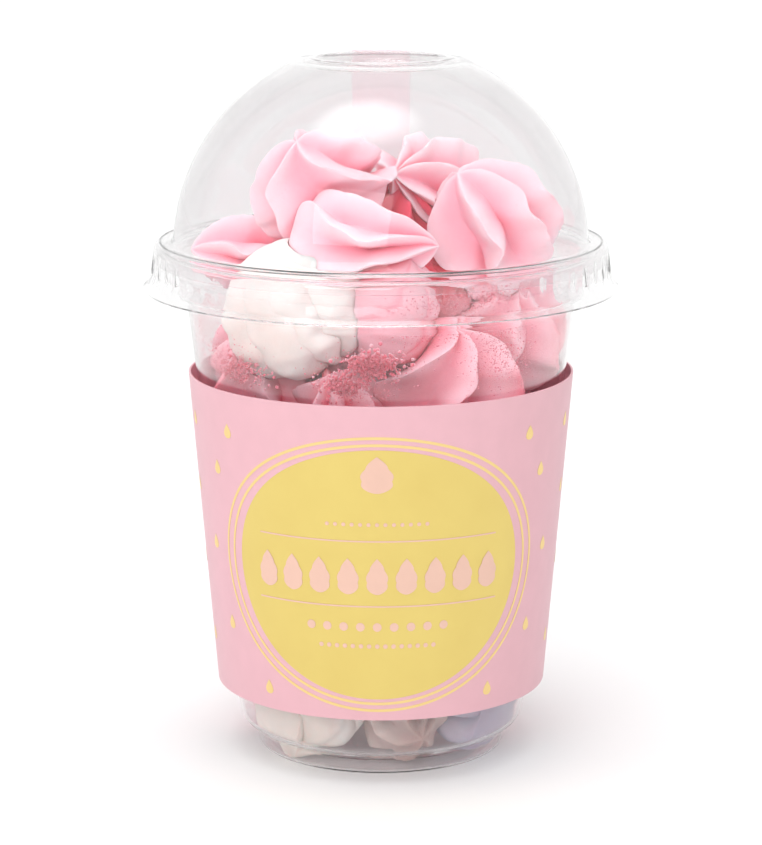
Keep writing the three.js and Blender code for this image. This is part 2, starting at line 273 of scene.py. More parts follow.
def bumped(tree, height, strength, distance):
    """The normal of a surface bumped by a height: strength as a share, distance in metres."""
    inputs = {"Height": height, "Strength": strength, "Distance": distance}
    return add_node(tree, "Bump", inputs).outputs["Normal"]


def clear_plastic(name, tint, edge_tint, rim_tint, drawn_out, wave_size, wave_height):
    """Clear sheet: faintly wavy, with light smears. Between the two heights where it is drawn
    out it is tinted, and greyer at a slant. Lamps and soft light pass straight through."""
    material, tree, shader, output = new_material(name)
    place = add_node(tree, "TexCoord").outputs["Object"]
    waves = noise(tree, place, wave_size, 1.0)
    smears = noise(tree, place, 45.0, 5.0)
    haze = mapped(tree, smears, 0.45, 0.75, 0.02, 0.09)
    slant = add_node(tree, "LayerWeight", {"Blend": 0.5}).outputs["Facing"]
    edge_on = mapped(tree, slant, 0.3, 0.85, smooth=True)
    height = add_node(tree, "SeparateXYZ", {"Vector": place}).outputs["Z"]
    above, below = (
        mapped(tree, height, (level - 1) * MM, (level + 1) * MM, start, 1.0 - start)
        for level, start in zip(drawn_out, (0.0, 1.0))
    )
    stretched = add_node(tree, "Math", {0: above, 1: below}, operation="MINIMUM")
    wall = mixed(tree, edge_on, tint, edge_tint)
    through = mixed(tree, stretched.outputs[0], rim_tint, wall)
    look = {
        "Base Color": through, "Roughness": haze, "IOR": 1.5, "Transmission Weight": 1.0,
        "Normal": bumped(tree, waves, 1.0, wave_height),
    }
    feed(tree, shader, look)
    rays = add_node(tree, "LightPath").outputs
    ends = {0: rays["Is Shadow Ray"], 1: rays["Is Diffuse Ray"]}
    passing = add_node(tree, "Math", ends, operation="MAXIMUM")
    straight = add_node(tree, "BsdfTransparent", {"Color": (0.98, 0.975, 0.98, 1)})
    ends = {0: passing.outputs["Value"], 1: shader.outputs[0], 2: straight.outputs[0]}
    mix = add_node(tree, "MixShader", ends)
    feed(tree, output, {"Surface": mix.outputs[0]})
    return material


cup.data.materials.append(
    clear_plastic(
        "cup_plastic", (0.885, 0.868, 0.872), (0.83, 0.81, 0.815), (0.95, 0.935, 0.94),
        (-9, 98), 60.0, 0.00003,
    )
)
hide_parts("cup")
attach(cup, "root")

# ---------------------------------------------------------------------------------------------
# The meringues: egg white and sugar beaten stiff, piped through a star nozzle in one turning
# squeeze and dried in a slow oven. Each lies loose on those under it, the pink ones on top.

USUAL = {
    "colour": "pink",
    "crests": ((0, 50), (62, 108), (118, 170), (183, 228), (240, 292), (300, 345)),
    "depth": 0.55,
    "foot_depth": 0.25,
    "rise_from": 0.1,
    "rise_to": 0.4,
    "sway": 0.18,
    "lobed": False,
    "draw": 1.5,
    "turn": 0,
}
ROLLS = (
    (0, 10), (30, 30), (85, 75), (160, 150), (225, 215), (275, 270), (303, 300), (330, 330),
)
WIDE_ROLLS = tuple((60 * roll, 60 * roll + 30) for roll in range(6))
MERINGUES = {
    "meringue_top_left": {
        "at": (-12.9, -8, 122.3), "tip": (-0.3, -0.6, 0.75), "radius": 15.2, "height": 24,
        "depth": 0.6, "sway": 0.08,
        "crests": (
            (55, 70, -46, -0.08), (125, 95, -10, -0.05), (196, 125, 30, 0), (222, 212, 14, 0.06),
            (385, 278, 14, 0.03),
        ),
    },
    "meringue_front": {
        "at": (-6.5, -20, 113.4), "tip": (0.95, -0.3, -0.02), "radius": 11, "height": 31,
        "foot_depth": 0.4, "sway": 0.06,
        "crests": (
            (45, 80, 0, 0), (120, 168, 40, -0.05), (165, 212, 47, 0.06), (252, 252, 28, 0.04),
            (315, 335, 10, 0),
        ),
    },
    "meringue_right": {
        "at": (24, -8, 114), "tip": (-0.5, -0.45, 0.78), "radius": 16, "height": 27,
        "depth": 0.54, "sway": 0.1,
        "crests": (
            (222, 150, 36, -0.05), (256, 264, 6, 0.03), (312, 376, -32, 0.05), (356, 414, -24, 0),
            (425, 445, -10, -0.15), (500, 480, 10, -0.1),
        ),
    },
    "meringue_white": {
        "at": (-16.7, -19, 97.3), "tip": (-0.45, -0.35, 0.82), "radius": 16, "height": 27,
        "colour": "white", "crests": ROLLS, "depth": 0.09, "foot_depth": 2.2, "lobed": True,
        "draw": 1.1, "sway": 0.08,
    },
    "meringue_back": {
        "at": (11.2, 11.6, 118), "tip": (-0.45, -0.82, 0.36), "radius": 13.4, "height": 31,
        "sway": 0.06,
        "crests": (
            (80, 66, 5, 0.1), (128, 120, 0, 0.22), (225, 234, -5, 0.05), (272, 270, 7, 0),
            (303, 304, 2, 0), (350, 378, -16, 0.05), (395, 402, -4, 0.08),
        ),
    },
    "meringue_left": {
        "at": (-27.5, 0, 107.5), "tip": (-0.9, -0.35, 0.12), "turn": 40, "radius": 10,
        "height": 22,
    },
    "meringue_low_front": {
        "at": (14.5, -20, 81.5), "tip": (0, -0.2, 0.97), "radius": 14.8, "height": 26,
        "sway": 0.06,
        "crests": ((190, 310, -56), (215, 326, 14), (320, 366, 3), (395, 420), (470, 485)),
    },
    "meringue_low_middle": {
        "at": (1, -20.5, 98.5), "tip": (0.35, -0.35, 0.85), "radius": 11.5, "height": 23,
        "crests": WIDE_ROLLS, "depth": 0.08, "foot_depth": 1, "lobed": True,
    },
    "meringue_low_right": {
        "at": (25.5, -6, 91), "tip": (0.1, -0.5, 0.9), "radius": 14, "height": 24,
        "depth": 0.4,
    },
    "meringue_low_left": {
        "at": (-24, -10, 80), "tip": (-0.3, -0.3, 0.9), "radius": 13.5, "height": 24,
        "depth": 0.4,
    },
    "meringue_back_right": {
        "at": (27, 14, 106), "tip": (0.5, 0.3, 0.8), "radius": 13, "height": 23,
    },
    "meringue_back_left": {
        "at": (-16, 20, 107), "tip": (-0.3, 0.3, 0.9), "radius": 15, "height": 25,
    },
    "meringue_back_low": {
        "at": (6, 26, 97), "tip": (0.2, 0.8, 0.5), "radius": 13.5, "height": 22,
    },
    "base_white": {
        "at": (-14, -15, 13.5), "tip": (-0.5, -0.5, 0.4), "radius": 13, "height": 22,
        "colour": "white", "crests": WIDE_ROLLS, "depth": 0.2, "lobed": True,
    },
    "base_lilac": {
        "at": (19, -13, 13.5), "tip": (0.5, -0.5, 0.5), "radius": 12, "height": 20,
        "colour": "lilac", "crests": WIDE_ROLLS, "depth": 0.2, "lobed": True,
    },
    "base_beige": {
        "at": (5, -18, 11), "tip": (0.3, -0.8, -0.2), "radius": 10, "height": 18,
        "colour": "beige", "depth": 0.3,
    },
    "base_pink_left": {
        "at": (-17, 11, 13), "tip": (-0.6, 0.5, 0.4), "radius": 13, "height": 22,
    },
    "base_pink_right": {
        "at": (19, 10, 13), "tip": (0.6, 0.4, 0.5), "radius": 12, "height": 21,
    },
    "base_white_back": {
        "at": (1, 20, 12.5), "tip": (0.1, 0.8, 0.4), "radius": 11.5, "height": 20,
        "colour": "white", "crests": WIDE_ROLLS, "depth": 0.2, "lobed": True,
    },
}
CREST_STEPS, PEAK_RINGS = 26, 64
BASE_SHARE = 0.38
RIB_WIDTH = 0.23  # of a crest, in radians from its middle
# How a crest wavers on its way up: how far, as a share of the piece's sway, how fast, and the
# turn that sets each crest apart.
SWAYS = ((1.0, 5.5, 2.1), (0.4, 14, 4.3))
# The same for what every piece has, in radians, with the turn that sets each piece apart.
WAVERS = ((0.05, 10, 3.1, 2), (0.04, 23, 1.9, 3))
OUT_OF_ROUND = (0.05, 0.04)  # by one swell and by two, as shares of the radius
NICK_DEPTH = 0.016  # of the notches in a crest's edge, as a share of the radius
FOOT_SHADE = 0.35  # how much of a hollow's painted shade is left at a piece's foot
LOBED_SHADE = 0.45  # how much of that painted shade the rolls of a lobed piece have at least


def smooth_step(value, low, high):
    share = min(max((value - low) / (high - low), 0), 1)
    return share * share * (3 - 2 * share)


def hollow_between(share, gap, lobed):
    """How deep a point lies, a share of the way between two crests: from 0 on either crest to 1.
    Crests are narrow ribs with broad hollows between. A lobed piece has rolls and grooves."""
    if lobed:
        return 1 - abs(math.sin(math.pi * share)) ** 0.8
    near, far = min(share, 1 - share) * gap / RIB_WIDTH, gap / 2 / RIB_WIDTH
    rib = (1 - 1 / (1 + near**1.5)) / (1 - 1 / (1 + far**1.5))
    return rib * (0.72 + 0.28 * math.sin(math.pi * share))


def mark_shade_and_tone(piece, hollows):
    """Gives each point of a piece its hollow attribute: how much of its look's valley colour it
    takes, a painted shade on the meringues and a random darker tone on the crumbs.
    """
    mark = piece.data.attributes.new("hollow", "FLOAT", "POINT")
    mark.data.foreach_set("value", hollows)


def piped(name, shape, index):
    """A round pillow drawn up to a point, with crests that run from their bearings at its foot to
    those at its peak. A crest's third number bends its middle aside, and its fourth stands it
    further out. The hollow attribute says how deep between two crests a point lies, as the share
    of painted shade its colour takes."""
    deselect_all()
    crests, height = shape["crests"], shape["height"]
    count = len(crests)
    bpy.ops.mesh.primitive_uv_sphere_add(
        segments=count * CREST_STEPS, ring_count=PEAK_RINGS, radius=1
    )
    piece = bpy.context.object
    piece.name = piece.data.name = name
    base = BASE_SHARE * height
    hollows = []

    def bearing(crest, climb):
        foot, peak, bend, _ = (*crests[crest % count], 0, 0)[:4]
        sway = 0
        for share, pace, apart in SWAYS:
            wave = math.sin(pace * climb + apart * (crest % count) + index)
            sway += share * shape["sway"] * wave
        for width, pace, apart, piece_apart in WAVERS:
            wave = math.sin(pace * climb + apart * (crest % count) + piece_apart * index)
            sway += width * wave
        bent = bend * 4 * climb * (1 - climb)
        along = math.radians(foot + (peak - foot) * climb + bent)
        return along + sway + 2 * math.pi * (crest // count)

    def stand(crest):
        here = crests[crest % count]
        return here[3] if len(here) > 3 else 0.1 * math.cos(2.4 * (crest % count) + 2.3 * index)

    for vertex in piece.data.vertices:
        x, y, rise = vertex.co
        around = (math.atan2(y, x) / (2 * math.pi) % 1) * count
        crest, share = int(around), around % 1
        width = math.hypot(x, y) ** (0.6 if rise < 0 else shape["draw"]) * shape["radius"]
        z = rise * (base if rise < 0 else height - base)
        climb = max((z + base) / height, 0)
        here, there = bearing(crest, climb), bearing(crest + 1, climb)
        hollow = hollow_between(share, there - here, shape["lobed"])
        opened = smooth_step(climb, shape["rise_from"], shape["rise_to"])
        reach = shape["depth"] * (shape["foot_depth"] + (1 - shape["foot_depth"]) * opened)
        angle = here + (there - here) * share
        once, twice = math.cos(angle + 1.7 * index), math.cos(2 * (angle + index))
        width *= 1 + OUT_OF_ROUND[0] * once + OUT_OF_ROUND[1] * twice
        width *= 1 + opened * (stand(crest) * (1 - share) + stand(crest + 1) * share)
        width *= 1 - reach * hollow
        nicks = math.sin(19 * climb + 2.7 * crest) + math.sin(31 * climb + 1.3 * crest + index)
        width *= 1 + NICK_DEPTH * opened * nicks * (1 - hollow)
        vertex.co = (width * math.cos(angle), width * math.sin(angle), z)
        # The hollow also sets how much of the valley's painted shade the point's colour takes.
        depth = hollow * (FOOT_SHADE + 0.65 * opened) * min(1, math.hypot(x, y) * 3)
        hollows.append(max(depth, LOBED_SHADE) if shape["lobed"] else depth)
    mark_shade_and_tone(piece, hollows)
    return piece


def lay(piece, shape, grow=1.0):
    """Turns a piped meringue to where its peak points and puts it in its place, in metres."""
    facing = Vector((0, 0, 1)).rotation_difference(Vector(shape["tip"]).normalized())
    facing = facing @ Quaternion((0, 0, 1), math.radians(shape["turn"]))
    place = Matrix.Translation(Vector(shape["at"])) @ facing.to_matrix().to_4x4()
    piece.data.transform(Matrix.Scale(MM, 4) @ place @ Matrix.Scale(grow, 4))
    piece.data.update()


def pick(piece):
    """Makes a piece the only selected and the active one."""
    deselect_all()
    piece.select_set(True)
    bpy.context.view_layer.objects.active = piece


def carve(piece, other, operation):
    """Cuts a piece by another closed piece, or keeps what the two share."""
    pick(piece)
    cut = piece.modifiers.new("cut", "BOOLEAN")
    cut.operation = operation
    cut.solver = "MANIFOLD"
    cut.object = other
    bpy.ops.object.modifier_apply(modifier=cut.name)


def keep_largest(piece):
    """Drops the scraps that a cut leaves."""
    pick(piece)
    name = piece.name
    bpy.ops.object.mode_set(mode="EDIT")
    bpy.ops.mesh.select_all(action="SELECT")
    bpy.ops.mesh.separate(type="LOOSE")
    bpy.ops.object.mode_set(mode="OBJECT")
    parts = sorted(bpy.context.selected_objects, key=lambda part: len(part.data.vertices))
    for scrap in parts[:-1]:
        bpy.data.objects.remove(scrap)
    parts[-1].name = name
    return parts[-1]


def reach_of(piece):
    """The corners of a piece's box."""
    points = [vertex.co for vertex in piece.data.vertices]
    low = Vector(map(min, zip(*points)))
    high = Vector(map(max, zip(*points)))
    return low, high


def may_touch(box, other_box):
    """Whether two boxes overlap."""
    (low, high), (other_low, other_high) = box, other_box
    return all(low[i] < other_high[i] and other_low[i] < high[i] for i in range(3))


grain_texture = bpy.data.textures.new("sugar_grain", "CLOUDS")
grain_texture.noise_scale = 0.0022
grain_texture.noise_depth = 3
fold_texture = bpy.data.textures.new("batter_folds", "CLOUDS")
fold_texture.noise_scale = 0.005
fold_texture.noise_depth = 1
swell_texture = bpy.data.textures.new("batter_swell", "CLOUDS")
swell_texture.noise_scale = 0.011
swell_texture.noise_depth = 1
SURFACE = ((swell_texture, 0.0018), (fold_texture, 0.0012), (grain_texture, 0.0003))


def roughen(piece):
    """The slight swells, the folds and the sugar grain of the dried batter."""
    bpy.context.view_layer.objects.active = piece
    for texture, strength in SURFACE:
        swell = piece.modifiers.new("swell", "DISPLACE")
        swell.texture = texture
        swell.texture_coords = "LOCAL"
        swell.strength = strength
        bpy.ops.object.modifier_apply(modifier=swell.name)


def dried_batter():
    """A node group: the painted valley shade, blotches, specks, gloss and grain of dried meringue.
    """
    group = bpy.data.node_groups.new("dried_batter", "ShaderNodeTree")
    for name in ("Grain Size", "Speckle"):
        group.interface.new_socket(name, in_out="INPUT", socket_type="NodeSocketFloat")
    for name in ("Valley Shade", "Blotch", "Speckle", "Roughness", "Height"):
        group.interface.new_socket(name, in_out="OUTPUT", socket_type="NodeSocketFloat")
    given = group.nodes.new("NodeGroupInput")
    result = group.nodes.new("NodeGroupOutput")
    place = add_node(group, "TexCoord").outputs["Object"]
    hollow = add_node(group, "Attribute", attribute_name="hollow").outputs["Fac"]
    valley_shade = mapped(group, hollow, 0.06, 0.95, smooth=True)
    blotch = noise(group, place, 180.0, 3.0)
    grain = noise(group, place, given.outputs["Grain Size"], 4.0)
    specks = add_node(group, "TexVoronoi", {"Vector": place, "Scale": 1500.0})
    speck = mapped(group, specks.outputs["Distance"], 0.05, 0.22, 1.0, 0.0)
    rare = mapped(group, blotch, 0.5, 0.62)
    sparse = add_node(group, "Math", {0: speck, 1: rare}, operation="MULTIPLY")
    amount = add_node(
        group, "Math", {0: sparse.outputs[0], 1: given.outputs["Speckle"]},
        operation="MULTIPLY",
    )
    rough = mapped(group, grain, 0, 1, 0.7, 0.95)
    height = add_node(group, "Math", {0: grain, 1: sparse.outputs[0]}, operation="SUBTRACT")
    for name, socket in (
        ("Valley Shade", valley_shade),
        ("Blotch", blotch),
        ("Speckle", amount.outputs[0]),
        ("Roughness", rough),
        ("Height", height.outputs[0]),
    ):
        group.links.new(socket, result.inputs[name])
    return group


batter_group = dried_batter()
NOOK_SHADE_REACH = 6 * MM  # how far off another wall the painted shade of a nook still reaches


def meringue_material(name, crest, valley_shade, speck, speckle):
    """Meringue of one colour with painted light and shade: painted paler on its crests, where they
    catch the light, painted deeper in its valleys and deepest in nooks, where the light has been
    from one pink wall to another. It has small specks."""
    material, tree, shader, _ = new_material(name)
    batter = tree.nodes.new("ShaderNodeGroup")
    batter.node_tree = batter_group
    feed(tree, batter, {"Grain Size": 900.0, "Speckle": speckle})
    crest_light_and_valley_shade = mixed(tree, batter.outputs["Valley Shade"], crest, valley_shade)
    # Painted shade in nooks: near another wall the colour turns towards the valley colour squared.
    room = add_node(tree, "AmbientOcclusion", {"Distance": NOOK_SHADE_REACH}, samples=8)
    nook_shade = mapped(tree, room.outputs["AO"], 0.05, 0.6, 0.8, 0.0)
    nook_shade_colour = tuple(channel * channel for channel in valley_shade)
    base = mixed(tree, nook_shade, crest_light_and_valley_shade, nook_shade_colour)
    shade = mapped(tree, batter.outputs["Blotch"], 0.3, 0.7, 0.95, 1.04)
    blotched = mixed(tree, 1.0, base, shade, "MULTIPLY")
    speckled = mixed(tree, batter.outputs["Speckle"], blotched, speck)
    look = {
        "Base Color": speckled, "Roughness": batter.outputs["Roughness"],
        "Normal": bumped(tree, batter.outputs["Height"], 0.35, 0.00012),
        "Specular IOR Level": 0.3, "Subsurface Weight": 0.5,
        "Subsurface Radius": (1.0, 0.4, 0.4), "Subsurface Scale": 0.0018,
    }
    feed(tree, shader, look)
    return material


# The name of each look's material, its crests, with painted light, its valleys, with painted
# shade, its specks and how many specks. On the crumbs the valley colour is a random darker tone.
LOOKS = {
    "pink": ("pink_meringue", (0.955, 0.665, 0.725), (0.98, 0.48, 0.57), (0.72, 0.14, 0.22), 0.45),
    "pale pink": (
        "pale_pink_meringue", (0.96, 0.78, 0.825), (0.97, 0.44, 0.53), (0.75, 0.2, 0.28), 0.35
    ),
    # A darker copy of pink, painted shade for the low pieces.
    "shaded rose": ("shaded_rose_meringue", (0.95, 0.585, 0.65), (0.94, 0.40, 0.48), (0.70, 0.12, 0.20), 0.5),
    # A much darker copy of pink, painted shade for the heap.
    "gap shaded pink": (
        "gap_shaded_pink_meringue", (0.95, 0.52, 0.59), (0.92, 0.11, 0.18), (0.60, 0.08, 0.14), 0.4
    ),
    "white": ("white_meringue", (0.88, 0.85, 0.81), (0.90, 0.83, 0.80), (0.8, 0.62, 0.52), 0.2),
    "crumb": ("meringue_crumb", (0.96, 0.60, 0.66), (0.84, 0.26, 0.34), (0.55, 0.08, 0.14), 0.2),
    "beige": ("beige_meringue", (0.74, 0.64, 0.60), (0.60, 0.48, 0.46), (0.22, 0.08, 0.07), 0.8),
    # A copy of white with darker valleys, painted shade for the white pieces at the base.
    "shaded white": ("shaded_white_meringue", (0.88, 0.84, 0.81), (0.84, 0.79, 0.75), (0.5, 0.36, 0.3), 0.4),
    "lilac": ("lilac_meringue", (0.67, 0.64, 0.71), (0.60, 0.56, 0.64), (0.4, 0.3, 0.4), 0.3),
}
MERINGUE_LOOKS = {look: meringue_material(*colours) for look, colours in LOOKS.items()}

# The shades of the pieces that differ a little from their colour: the back one a paler pink, and
# the low pink ones and the white ones at the base darker copies of their look, painted shade for
# where they lie lower in the cup.
TONES_AND_PAINTED_SHADES = {
    "meringue_back_piped": "pale pink",
    "meringue_low_front_piped": "shaded rose",
    "meringue_low_middle_piped": "shaded rose",
    "meringue_low_right_piped": "shaded rose",
    "meringue_low_left_piped": "shaded rose",
    "base_white_piped": "shaded white",
    "base_white_back_piped": "shaded white",
}

# All the room for meringues in the shut cup, a gap off the plastic.
body_line = eased(cup_body_line, CORNER)
room_line = offset_line(body_line, PLASTIC + GAP)
room_line += arc(DOME["radius"] - PLASTIC - GAP, (0, DOME["centre_z"]), 3, 70, 16)
cup_room = turned("cup_room", [*room_line, Vector((0, room_line[-1].y))])

taken = []  # each meringue laid so far, grown by the gap, with its box
SMOOTH_UNDER = 50  # degrees between two facets of a meringue


def dress(piece, material, smooth_under):
    """Gives a cut piece its one material and smooths its edges under an angle."""
    piece.data.materials.clear()
    piece.data.materials.append(material)
    pick(piece)
    bpy.ops.object.shade_smooth_by_angle(angle=math.radians(smooth_under))


def settle(name, entry, index):
    """A meringue laid in the cup, clear of the plastic and of the ones laid before it."""
    shape = {**USUAL, **entry}
    piece = piped(name, shape, index)
    roughen(piece)
    bpy.ops.object.duplicate()
    neighbour = bpy.context.object
    neighbour.data = neighbour.data.copy()
    lay(piece, shape)
    lay(neighbour, shape, 1 + GAP / shape["radius"])
    carve(piece, cup_room, "INTERSECT")
    box = reach_of(piece)
    for other, other_box in taken:
        if may_touch(box, other_box):
            carve(piece, other, "DIFFERENCE")
    piece = keep_largest(piece)
    taken.append((neighbour, reach_of(neighbour)))
    dress(piece, MERINGUE_LOOKS[TONES_AND_PAINTED_SHADES.get(name, shape["colour"])], SMOOTH_UNDER)
    return piece


for index, (name, entry) in enumerate(MERINGUES.items()):
    piece = settle(name + "_piped", entry, index)
    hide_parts(name)
    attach(piece, "root")

# ---------------------------------------------------------------------------------------------
# The filling behind the sleeve: more pink meringues, packed in a heap that shows only from
# above and where some of them reach up between the loose ones.

FILL = {"radius": 31, "bottom_z": 27, "shoulder_z": 72, "top_z": 84}
HEAPED = [
    {"at": (2, 1, 95), "tip": (0.2, -0.4, 0.9), "radius": 15, "height": 24},
    {"at": (3, 5, 111.5), "tip": (0.1, -0.5, 0.8), "radius": 13, "height": 22},
    {"at": (-23, 16, 84), "tip": (-0.5, 0.4, 0.8), "radius": 14, "height": 24},
    {"at": (22, 20, 82), "tip": (0.5, 0.5, 0.7), "radius": 14, "height": 24},
    {"at": (-8, -22, 75.5), "tip": (-0.2, -0.5, 0.8), "radius": 13, "height": 22},
    {"at": (9.5, -5.5, 96), "tip": (0.1, -0.6, 0.8), "radius": 12.5, "height": 22},
]
# How much of its look's painted valley shade the heap's core takes; the whole heap wears a darker,
# shaded copy of the pink look.
CORE_SHADE = 0.6
GAP_SHADE_HEIGHTS = (97, 106)  # the heap's colour deepens from the first height to the second, a painted shade for the gaps between the loose meringues where it shows
heap_line = eased(
    [
        (0, FILL["bottom_z"]),
        (0.8 * FILL["radius"], FILL["bottom_z"]),
        (FILL["radius"], FILL["bottom_z"] + 5),
        (FILL["radius"], FILL["shoulder_z"]),
        (0.5 * FILL["radius"], FILL["top_z"]),
        (0, FILL["top_z"]),
    ],
    3,
)
heap = turned("meringue_heap", heap_line, 96)
roughen(heap)
mark_shade_and_tone(heap, [CORE_SHADE] * len(heap.data.vertices))
for index, entry in enumerate(HEAPED):
    shape = {**USUAL, **entry}
    lump = piped("lump", shape, index)
    roughen(lump)
    lay(lump, shape)
    carve(heap, lump, "UNION")
    bpy.data.objects.remove(lump)
carve(heap, cup_room, "INTERSECT")
for other, _ in taken:
    carve(heap, other, "DIFFERENCE")
heap = keep_largest(heap)
# Painted shade: the heap is half as shaded low down and wholly shaded up where it shows between
# the loose meringues.
mark = heap.data.attributes["hollow"]
for vertex, value in zip(heap.data.vertices, mark.data):
    gap_shade = smooth_step(vertex.co.z / MM, *GAP_SHADE_HEIGHTS)
    value.value = min(1, 0.5 * value.value + gap_shade)
dress(heap, MERINGUE_LOOKS["gap shaded pink"], SMOOTH_UNDER)
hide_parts("meringue_fill")
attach(heap, "root")
for other, _ in taken:
    bpy.data.objects.remove(other)
bpy.data.objects.remove(cup_room)

# ---------------------------------------------------------------------------------------------
# The lid: the same clear sheet, drawn into a dome with a flat crown, a rolled step over the
# cup's rim and a crimped skirt that snaps under it. A cross is cut in the crown for a straw.

CROWN = {"top_z": 149.4, "outer_radius": 16.3, "inner_radius": 13.1, "floor_z": 147.7}
FLANGE = {"z": 110.4, "inner_radius": 44.7, "bead_radius": 47, "bead": 0.5, "radius": 48.5}
SKIRT = {"straight_z": 104.4, "edge_radius": 50.7, "edge_z": 101}
CRIMPS, CRIMP_HEIGHT, CRIMP_LOW, CRIMP_HIGH = 60, 0.55, 103.2, 107.2
LID_STEPS = 288

crown_line = [(0, CROWN["floor_z"]), (CROWN["inner_radius"] - 0.6, CROWN["floor_z"])]
crown_ring = [
    (CROWN["inner_radius"] + 0.4, CROWN["top_z"]),
    (CROWN["outer_radius"] - 1, CROWN["top_z"]),
    (CROWN["outer_radius"], CROWN["top_z"] - 0.7),
]
dome_arc = arc(
    DOME["radius"], (0, DOME["centre_z"]), DOME["high_angle"], DOME["low_angle"], 28
)
flange_line = [
    (FLANGE["inner_radius"], FLANGE["z"]),
    (FLANGE["bead_radius"] - 0.8, FLANGE["z"]),
    (FLANGE["bead_radius"], FLANGE["z"] + FLANGE["bead"]),
    (FLANGE["radius"] - 0.5, FLANGE["z"] - 0.2),
    (FLANGE["radius"], FLANGE["z"] - 1.3),
    (FLANGE["radius"], SKIRT["straight_z"]),
    (SKIRT["edge_radius"] - 1, SKIRT["edge_z"] + 0.9),
    (SKIRT["edge_radius"], SKIRT["edge_z"]),
]
lid_line = eased([*crown_line, *crown_ring, dome_arc[0]], 0.35)
lid_line += dome_arc[1:-1]
lid_line += eased([dome_arc[-1], *flange_line], 0.4)
lid = turned("domed_lid", walled(lid_line, -PLASTIC), LID_STEPS)
for vertex in lid.data.vertices:
    x, y, z = vertex.co / MM
    radius = math.hypot(x, y)
    if radius > FLANGE["radius"] - 1 and CRIMP_LOW < z < CRIMP_HIGH:
        along = math.sin(math.pi * (z - CRIMP_LOW) / (CRIMP_HIGH - CRIMP_LOW)) ** 2
        wave = max(math.cos(CRIMPS * math.atan2(y, x)), 0) ** 2
        grown = (radius + CRIMP_HEIGHT * along * wave) / radius
        vertex.co.x *= grown
        vertex.co.y *= grown

SLIT_LENGTH, SLIT_WIDTH, SLIT_DEPTH, SLIT_TURNS = 15, 0.35, 3, (28, 118)
for turn in SLIT_TURNS:
    deselect_all()
    bpy.ops.mesh.primitive_cube_add(size=MM)
    blade = bpy.context.object
    blade.data.transform(
        Matrix.Translation((0, 0, CROWN["floor_z"] * MM))
        @ Matrix.Rotation(math.radians(turn), 4, "Z")
        @ Matrix.Diagonal((SLIT_LENGTH, SLIT_WIDTH, SLIT_DEPTH, 1))
    )
    carve(lid, blade, "DIFFERENCE")
    bpy.data.objects.remove(blade)
lid_plastic = clear_plastic(
    "lid_plastic", (0.905, 0.897, 0.902), (0.76, 0.745, 0.75), (0.905, 0.902, 0.902),
    (113, 145), 40.0, 0.00004,
)
dress(lid, lid_plastic, 35)
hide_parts("lid")
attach(lid, "root")

# ---------------------------------------------------------------------------------------------
# The sleeve: a band of coated white board, printed pink, wrapped round the cup and glued to
# itself at the back, where one end laps over the other. It is pushed up the taper till it grips.

SLEEVE = {"bottom_radius": 35.6, "bottom_z": 14.8, "top_radius": 41.3, "top_z": 82.6}
BOARD = 0.5
LAP_FROM, LAP_TO, LAP_OFF, LAP_BOARD = 150, 166, 0.03, 0.4
sleeve_line = [
    Vector((SLEEVE["bottom_radius"], SLEEVE["bottom_z"])),
    Vector((SLEEVE["top_radius"], SLEEVE["top_z"])),
]
sleeve_wall = walled(sleeve_line, BOARD)
sleeve = turned("paper_sleeve", eased([*sleeve_wall, sleeve_wall[0]], 0.12), 180, 60)


def paper(name, ink, mottle, sheen):
    """Coated board or paper: an even ink with a faint mottle, a fine tooth and a soft gloss."""
    material, tree, shader, _ = new_material(name)
    place = add_node(tree, "TexCoord").outputs["Object"]
    cloud = noise(tree, place, 220.0, 5.0)
    tooth = noise(tree, place, 2200.0, 3.0)
    shade = mapped(tree, cloud, 0.3, 0.7, 1 - mottle, 1 + mottle)
    look = {
        "Base Color": mixed(tree, 1.0, ink, shade, "MULTIPLY"),
        "Roughness": mapped(tree, tooth, 0, 1, sheen - 0.06, sheen + 0.08),
        "Normal": bumped(tree, tooth, 0.25, 0.00004),
    }
    feed(tree, shader, look)
    return material


SLEEVE_PINK = (0.675, 0.385, 0.43)
sleeve.data.materials.append(paper("sleeve_board", SLEEVE_PINK, 0.02, 0.42))
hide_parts("sleeve")
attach(sleeve, "root")


def sleeve_radius(z):
    share = (z - SLEEVE["bottom_z"]) / (SLEEVE["top_z"] - SLEEVE["bottom_z"])
    return SLEEVE["bottom_radius"] + share * (SLEEVE["top_radius"] - SLEEVE["bottom_radius"])


def wrap(piece, middle_angle, off):
    """Wraps a flat piece, in mm about x and z, round the sleeve and a little off it, with its
    middle at an angle from the front."""
    for vertex in piece.data.vertices:
        x, y, z = vertex.co
        radius = sleeve_radius(z) + off + y
        angle = math.radians(middle_angle) + x / WRAP_RADIUS
        vertex.co = (radius * math.sin(angle) * MM, -radius * math.cos(angle) * MM, z * MM)
    piece.data.update()


def thicken(piece, thickness):
    """Gives a sheet its thickness, in mm, on its outer side."""
    pick(piece)
    wall = piece.modifiers.new("wall", "SOLIDIFY")
    wall.thickness = thickness * MM
    wall.offset = 1
    bpy.ops.object.modifier_apply(modifier=wall.name)
    bpy.ops.object.mode_set(mode="EDIT")
    bpy.ops.mesh.select_all(action="SELECT")
    bpy.ops.mesh.normals_make_consistent(inside=False)
    bpy.ops.object.mode_set(mode="OBJECT")
    bpy.ops.object.shade_smooth_by_angle(angle=math.radians(40))


